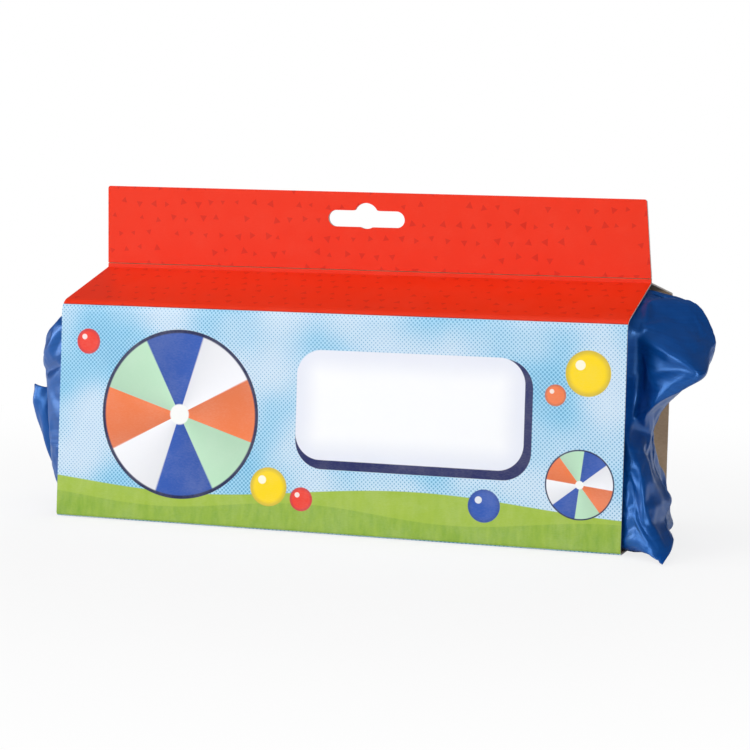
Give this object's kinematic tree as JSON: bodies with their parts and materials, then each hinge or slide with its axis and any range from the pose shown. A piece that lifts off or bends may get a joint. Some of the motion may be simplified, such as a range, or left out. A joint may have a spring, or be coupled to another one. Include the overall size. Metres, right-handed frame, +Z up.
{
  "type": "play parachute",
  "caption": "Play parachute packed for sale: its gores and handles folded in a shiny cloth bag, held in an open-ended carton sleeve with a gabled top and a folding hang header.",
  "frame": {"origin": "middle of the base panel's underside", "axes": "+X along the sleeve to the end with the large bag corner, +Y from the front panel to the back, +Z up"},
  "size_m": [0.2824, 0.0958, 0.131],
  "materials": {
    "printed_board": "coated print",
    "red_board": "coated print",
    "bag_cloth": "shiny taffeta",
    "orange_cloth": "taffeta",
    "green_cloth": "taffeta",
    "white_cloth": "taffeta",
    "blue_cloth": "taffeta",
    "webbing": "woven tape"
  },
  "bodies": {
    "sleeve": {"sleeve_front_panel": "printed_board", "sleeve_base_panel": "printed_board", "sleeve_back_panel": "printed_board", "sleeve_front_roof": "red_board", "sleeve_back_roof": "red_board"},
    "header": {"header_front_ply": "red_board", "header_back_ply": "red_board"},
    "bundle": {"bag_front_panel": "bag_cloth", "bag_back_panel": "bag_cloth", "bag_mouth_hem": "bag_cloth", "gore_orange_1": "orange_cloth", "gore_green_1": "green_cloth", "gore_white_1": "white_cloth", "gore_blue_1": "blue_cloth", "gore_orange_2": "orange_cloth", "gore_green_2": "green_cloth", "gore_white_2": "white_cloth", "gore_blue_2": "blue_cloth", "crown_disc": "white_cloth", "rim_binding": "webbing", "handle_01": "webbing", "handle_02": "webbing", "handle_03": "webbing", "handle_04": "webbing", "handle_05": "webbing", "handle_06": "webbing", "handle_07": "webbing", "handle_08": "webbing", "handle_09": "webbing", "handle_10": "webbing", "handle_11": "webbing", "handle_12": "webbing"}
  },
  "joints": [
    {"name": "header_fold", "type": "hinge", "parent": "sleeve", "child": "header", "pos_m": [0, 0, 0.099], "axis": [1, 0, 0], "range_deg": [-90, 90], "stiffness_Nm_per_rad": 0.03},
    {"name": "bundle_slide", "type": "slide", "parent": "sleeve", "child": "bundle", "axis": [1, 0, 0], "range_m": [0, 0.27]}
  ]
}
